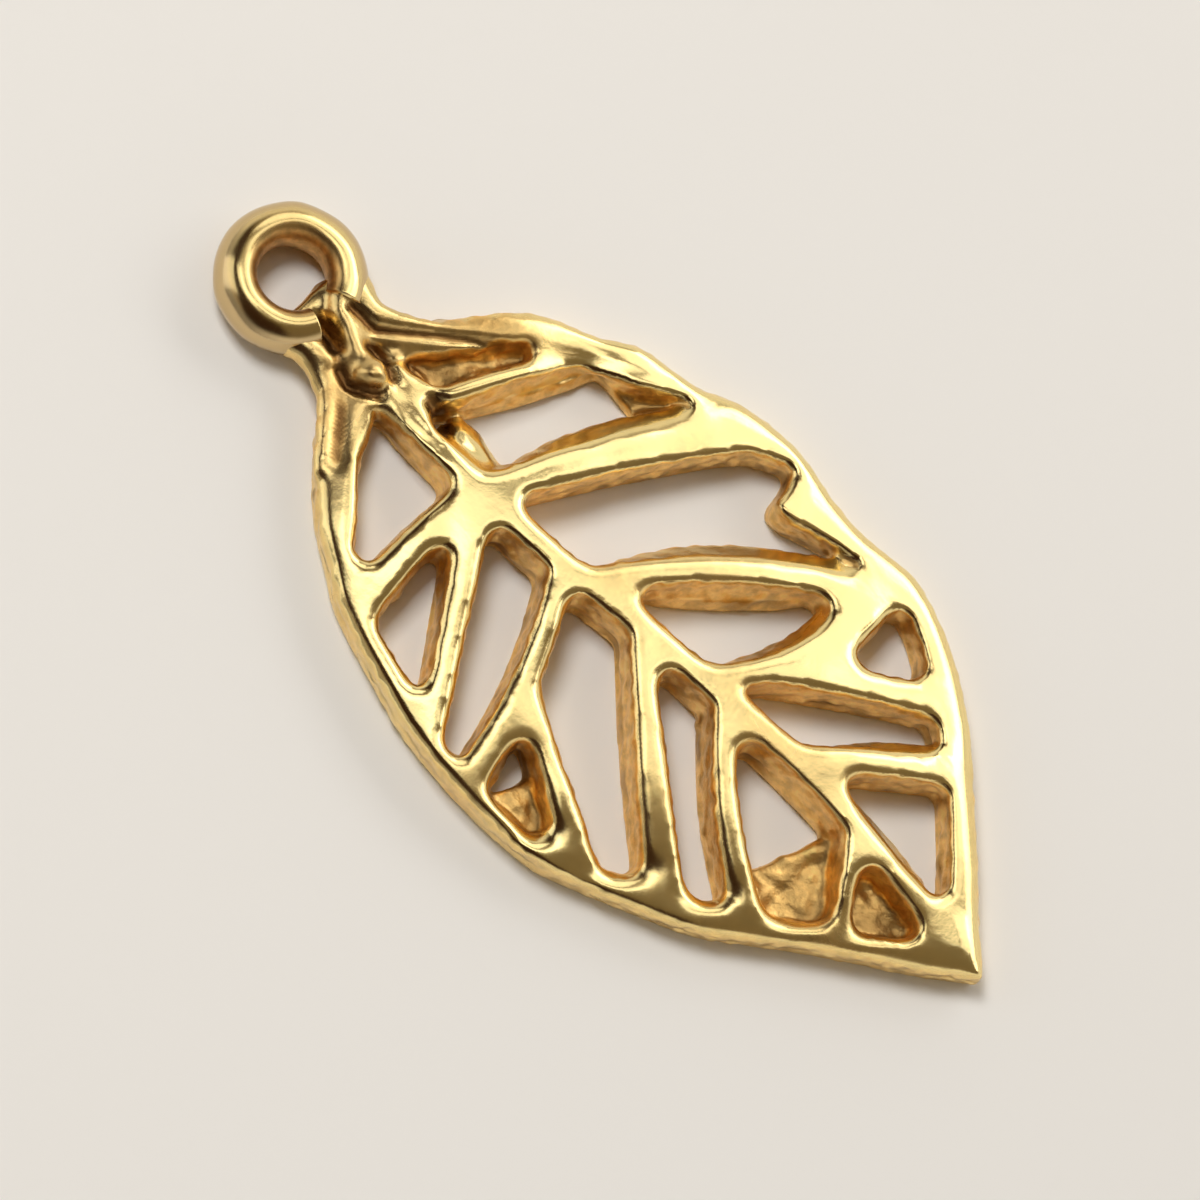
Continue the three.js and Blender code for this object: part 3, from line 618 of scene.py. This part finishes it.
# The leaf: remeshed, melted, evened, then pushed along its normals by waves and down by dips and
# creases, and masked for the material
def castLeaf(look):
    centre = eyeCentre()
    solder = []
    for rows in look["solderRuns"]:
        points, faces = tube(rows, look)
        solder.append((points + centre, faces))
    mesh = remeshed(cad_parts["leaf"], solder, look)

    # Corners melt everywhere, and more on the worn top of the blade and on the stem
    points, edges = meshArrays(mesh)
    points = melt(points, edges, look["meltRounds"])
    along = (points - centre)[:, 0]
    bladeEnds = (look["bladeFrom"] - look["bladeFade"], look["bladeFrom"] + look["bladeFade"])
    isBlade = smoothStep(bladeEnds, along)
    isTop = smoothStep(look["topHeights"], points[:, 2])
    setPoints(mesh, points)
    isWorn = smoothStep(look["wornFacing"], pointNormals(mesh)[:, 1])
    points = melt(points, edges, look["topMeltRounds"], (isBlade * isTop * isWorn)[:, None])
    points = melt(points, edges, look["stemMeltRounds"], (1 - isBlade)[:, None])
    setPoints(mesh, points)
    normals = pointNormals(mesh)
    points[:, 2] += isBlade * evenedTop(points, normals, look)

    # Cast walls and the floors of the webs are rougher than the polished top
    isRaised = smoothStep(look["raisedHeights"], points[:, 2])
    isUpper = smoothStep(look["upperHeights"], points[:, 2])
    steep = 1 - smoothStep(look["steepFacing"], np.abs(normals[:, 2]))
    floor = (1 - smoothStep(look["floorHeights"], points[:, 2])) * (normals[:, 2] > 0)
    stem = 1 - smoothStep(look["stemLengths"], along)
    cast = np.clip(np.maximum(steep, floor) + look["stemWaves"] * stem, 0, 1)
    shift = waveShift(points, look["handWave"])
    shift += waveShift(points, look["fineWave"])
    shift += waveShift(points, look["castWave"], cast)
    shift += waveShift(points, look["floorWave"], floor)
    points = points + (isRaised * shift)[:, None] * normals
    dips = bellSum(points, centre, look["polishDips"]) * mm
    points[:, 2] -= isUpper * (dips + creaseDepth(points, centre, look["creases"]))
    points = insideBox(points)
    setPoints(mesh, points)

    # Masks of the material: the cast finish on walls, in hollows and in dull patches, and the
    # painted shade in creases, in the stem's hollows, in patches on the floors and over the stem
    hollow = hollowness(points, pointNormals(mesh), edges, look["hollowRounds"])[:, None]
    hollow = melt(hollow, edges, look["stemHollowRounds"], (1 - isBlade)[:, None])[:, 0]
    hollow = smoothStep(look["hollowRange"], hollow / look["hollowFull"])
    dull = look["stemCast"] * stem + bellSum(points, centre, look["dullPatches"])
    wall = np.maximum(np.maximum(steep, floor), look["hollowCast"] * hollow)
    wall = np.clip(wall + dull, 0, 1)
    setMask(mesh, "wall", wall * (1 - look["outerPolish"] * outerShare(points, look)))
    depth = creaseDepth(points, centre, look["creases"])
    crease = smoothStep(look["creaseDepths"], depth) * isUpper
    patch = floor * smoothStep(look["patchRange"], waveNoise(points, *look["patchNoise"]))
    # Painted shade: darker in the creases, in the stem's hollows, over the whole stem and in
    # patches on the floors
    paintedShade = np.maximum(look["creaseShade"] * crease, hollow * stem)
    paintedShade = np.maximum(paintedShade, look["floorPatchShade"] * patch) + look["stemShade"] * stem
    setMask(mesh, "paintedShade", np.clip(paintedShade, 0, look["mostShade"]))
    makePiece("leafCasting", mesh, "leaf", leafMaterial)
    print("leaf casting:", len(mesh.polygons), "faces")


# Loop: a round wire bent into a C, its section carried round the eye

loopWire = {
    "radius": 1.85 * mm,
    "width": 1.02 * mm,
    "height": 1.34 * mm,
    "lean": -0.09 * mm,
    "gapHalfWidth": 0.50 * mm,
    "around": 44,
    "along": 220,
    "handWave": (0.012 * mm, 1.1 * mm, 11),
    "raisedHeights": (0.02 * mm, 0.3 * mm),
    "innerCast": (0.15, 0.9),
    # Painted shade on the loop's outer side: where it starts and how strong it is
    "outerShadeFrom": (0.2, 0.7),
    "outerShade": 0.8,
}


# The loop by a formula: its section is a half-width cosine outwards and a half-height sine upwards,
# with the crest shifted outwards by the lean, or inwards where that is below nought, and is carried
# along the arc about the eye's centre. Each end is closed by a fan to its middle.
def bentWire(look):
    centreX, centreY, _ = eyeCentre()
    halfWidth = look["width"] / 2
    wireRadius = look["radius"] - halfWidth
    start = math.asin(look["gapHalfWidth"] / wireRadius)
    turn = np.linspace(0, 2 * math.pi, look["around"], endpoint=False)
    arc = np.linspace(start, 2 * math.pi - start, look["along"])
    rise = np.sin(turn)
    out = wireRadius + halfWidth * np.cos(turn) + look["lean"] * np.clip(rise, 0, None) ** 2
    high = look["height"] / 2 * (1 + rise)
    grid = np.stack([
        centreX + np.cos(arc)[:, None] * out,
        centreY + np.sin(arc)[:, None] * out,
        np.broadcast_to(high, (len(arc), len(turn))),
    ], axis=2)

    # Four-sided faces along the arc, then a fan of triangles at each end
    count = look["around"]
    points = grid.reshape(-1, 3)
    row, column = np.meshgrid(np.arange(len(arc) - 1), np.arange(count), indexing="ij")
    here = row * count + column
    ahead = row * count + (column + 1) % count
    quads = np.stack([here, ahead, ahead + count, here + count], axis=2).reshape(-1, 4)
    middles = np.array([grid[0].mean(0), grid[-1].mean(0)])
    first, last = len(points), len(points) + 1
    ring = np.arange(count)
    after = (ring + 1) % count
    base = (len(arc) - 1) * count
    caps = np.concatenate([
        np.stack([np.full(count, first), after, ring], axis=1),
        np.stack([np.full(count, last), base + ring, base + after], axis=1),
    ])
    points = np.concatenate([points, middles])
    mesh = bpy.data.meshes.new("loopWire")
    mesh.from_pydata(points.tolist(), [], quads.tolist() + caps.tolist())
    mesh.update()

    shift = waveShift(points, look["handWave"]) * smoothStep(look["raisedHeights"], points[:, 2])
    setPoints(mesh, insideBox(points + shift[:, None] * pointNormals(mesh)))
    outward = (np.hypot(points[:, 0] - centreX, points[:, 1] - centreY) - wireRadius) / halfWidth
    setMask(mesh, "wall", smoothStep(look["innerCast"], -outward))
    # Painted shade on the outer side of the loop, as a duller tan
    setMask(mesh, "paintedShade", look["outerShade"] * smoothStep(look["outerShadeFrom"], outward))
    makePiece("loopWire", mesh, "eye_loop", loopMaterial)
    print("loop wire:", len(mesh.polygons), "faces")


castLeaf(leafSkin)
bentWire(loopWire)


# Table: pale and plain, a hair below the leaf, and see-through from below so that the back shows

table = {
    "color": (0.93, 0.91, 0.865),
    "halfSize": 1.5,
    "roughness": 0.9,
    "specular": 0.1,
    "sink": 0.01 * mm,
}


def paleTable(look):
    half = look["halfSize"]
    mesh = bpy.data.meshes.new("table")
    corners = [(-half, -half, 0), (half, -half, 0), (half, half, 0), (-half, half, 0)]
    mesh.from_pydata(corners, [], [(0, 1, 2, 3)])
    plane = bpy.data.objects.new("table", mesh)
    scene.collection.objects.link(plane)
    material = bpy.data.materials.new("paleTable")
    material.use_nodes = True
    tree = material.node_tree
    shader = tree.nodes["Principled BSDF"]
    shader.inputs["Base Color"].default_value = (*look["color"], 1)
    shader.inputs["Roughness"].default_value = look["roughness"]
    shader.inputs["Specular IOR Level"].default_value = look["specular"]
    clear = addNode(tree, "ShaderNodeBsdfTransparent", (0, -200))
    side = addNode(tree, "ShaderNodeNewGeometry", (0, 300))
    mix = addNode(tree, "ShaderNodeMixShader", (300, 100))
    tree.links.new(side.outputs["Backfacing"], mix.inputs["Fac"])
    tree.links.new(shader.outputs["BSDF"], mix.inputs[1])
    tree.links.new(clear.outputs["BSDF"], mix.inputs[2])
    tree.links.new(mix.outputs["Shader"], tree.nodes["Material Output"].inputs["Surface"])
    mesh.materials.append(material)
    plane.location = (0, 0, -look["sink"])


paleTable(table)
print("table ready")


# Light: a pale room, dark overhead, with softboxes over the leaf and round it

room = {
    "horizon": (0.80, 0.76, 0.71),
    "ceilingFrom": (0.25, 0.55),
    "ceiling": [
        (0.0, (0.17, 0.13, 0.08)),
        (0.08, (0.17, 0.13, 0.08)),
        (0.20, (0.030, 0.012, 0.005)),
        (0.78, (0.030, 0.012, 0.005)),
        (0.92, (0.42, 0.33, 0.23)),
    ],
    "leftward": (-0.6, -0.8, 0),
    "leftDim": (0.2, 0.8),
    "leftHorizon": 0.4,
}

# Each lamp: where it stands, its width and depth, how bright its face is, whether polished metal
# shows it and whether it lights the table
softboxes = {
    "overhead": {
        "from": (-0.04, 0.05, 0.30), "size": (0.34, 0.075), "radiance": 1.15,
        "isMirrored": True, "isOnTable": False,
    },
    "rightward": {
        "from": (-0.03, 0.21, 0.25), "size": (0.40, 0.17), "radiance": 1.2,
        "isMirrored": True, "isOnTable": False,
    },
    "upperLeft": {
        "from": (-0.05, -0.01, 0.29), "size": (0.10, 0.10), "radiance": 1.0,
        "isMirrored": True, "isOnTable": True,
    },
    "window": {
        "from": (0.06, 0.25, 0.19), "size": (0.36, 0.11), "radiance": 1.9,
        "isMirrored": True, "isOnTable": True,
    },
    "side": {
        "from": (-0.22, -0.12, 0.09), "size": (0.16, 0.22), "radiance": 0.9,
        "isMirrored": True, "isOnTable": True,
    },
    "fill": {
        "from": (-0.20, 0.02, 0.36), "size": (0.14, 0.14), "radiance": 15.0,
        "isMirrored": False, "isOnTable": True,
    },
}


# The room's colour goes by the direction. Overhead it is a row of colours by how far the direction
# leans leftward; near the horizon it is pale, and dimmed on the left.
def paleRoom(look):
    world = bpy.data.worlds.new("paleRoom")
    scene.world = world
    world.use_nodes = True
    tree = world.node_tree
    back = tree.nodes["Background"]
    coords = addNode(tree, "ShaderNodeTexCoord", (-1100, 0))
    split = addNode(tree, "ShaderNodeSeparateXYZ", (-900, 0))
    leftward = addNode(tree, "ShaderNodeVectorMath", (-700, -200), operation="DOT_PRODUCT")
    leftward.inputs[1].default_value = look["leftward"]
    ceiling = addNode(tree, "ShaderNodeValToRGB", (-500, -200))
    ramp = ceiling.color_ramp
    for place, _ in look["ceiling"][1:]:
        ramp.elements.new(place)
    ramp.elements.remove(ramp.elements[-1])
    for element, (place, color) in zip(ramp.elements, look["ceiling"]):
        element.position = place
        element.color = (*color, 1)
    dim = mapRange(tree, (-500, 200), leftward.outputs["Value"], look["leftDim"],
                   (1, look["leftHorizon"]), "SMOOTHSTEP")
    horizon = addNode(tree, "ShaderNodeVectorMath", (-250, 200), operation="SCALE")
    horizon.inputs[0].default_value = look["horizon"]
    share = mapRange(tree, (-250, 0), split.outputs["Z"], look["ceilingFrom"],
                     kind="SMOOTHSTEP")
    mix = addNode(tree, "ShaderNodeMix", (0, 0), data_type="RGBA")
    tree.links.new(coords.outputs["Generated"], split.inputs["Vector"])
    tree.links.new(coords.outputs["Generated"], leftward.inputs[0])
    tree.links.new(leftward.outputs["Value"], ceiling.inputs["Fac"])
    tree.links.new(dim, horizon.inputs["Scale"])
    tree.links.new(share, mix.inputs["Factor"])
    tree.links.new(horizon.outputs["Vector"], mix.inputs["A"])
    tree.links.new(ceiling.outputs["Color"], mix.inputs["B"])
    tree.links.new(mix.outputs["Result"], back.inputs["Color"])


# Rectangular lamp that faces the origin, as strong as its face's brightness asks
def softbox(name, look):
    width, depth = look["size"]
    data = bpy.data.lights.new(name, "AREA")
    data.shape = "RECTANGLE"
    data.size = width
    data.size_y = depth
    data.energy = look["radiance"] * math.pi * width * depth
    lamp = bpy.data.objects.new(name, data)
    scene.collection.objects.link(lamp)
    place = Vector(look["from"])
    lamp.location = place
    lamp.rotation_euler = place.to_track_quat("Z", "Y").to_euler()
    lamp.visible_camera = False
    lamp.visible_glossy = look["isMirrored"]
    lamp.visible_diffuse = look["isOnTable"]


paleRoom(room)
for name, look in softboxes.items():
    softbox(name, look)
print("light ready:", len(softboxes), "softboxes")


# Camera: high on the leaf's left side, rolled so that the leaf runs from upper left to lower right

camera = {
    "target": Vector((-0.188, -0.174, 0.7)) * mm,
    "elevation": math.radians(70),
    "roll": math.radians(45.4),
    "frameWidth": 28.08 * mm,
    "lens": 200,
    "clip": (0.001, 10),
}


def setCamera(look):
    data = bpy.data.cameras.new("camera")
    data.lens = look["lens"]
    viewer = bpy.data.objects.new("camera", data)
    scene.collection.objects.link(viewer)
    back = Vector((0, -math.cos(look["elevation"]), math.sin(look["elevation"])))
    along = Vector((1, 0, 0))
    up = back.cross(along)
    right = along * math.cos(look["roll"]) + up * math.sin(look["roll"])
    distance = look["frameWidth"] * data.lens / data.sensor_width
    viewer.matrix_world = Matrix.Translation(look["target"] + back * distance) @ Matrix(
        (right, back.cross(right), back)).transposed().to_4x4()
    data.clip_start, data.clip_end = look["clip"]
    scene.camera = viewer


setCamera(camera)
print("camera ready")
scene.view_settings.view_transform = "Standard"
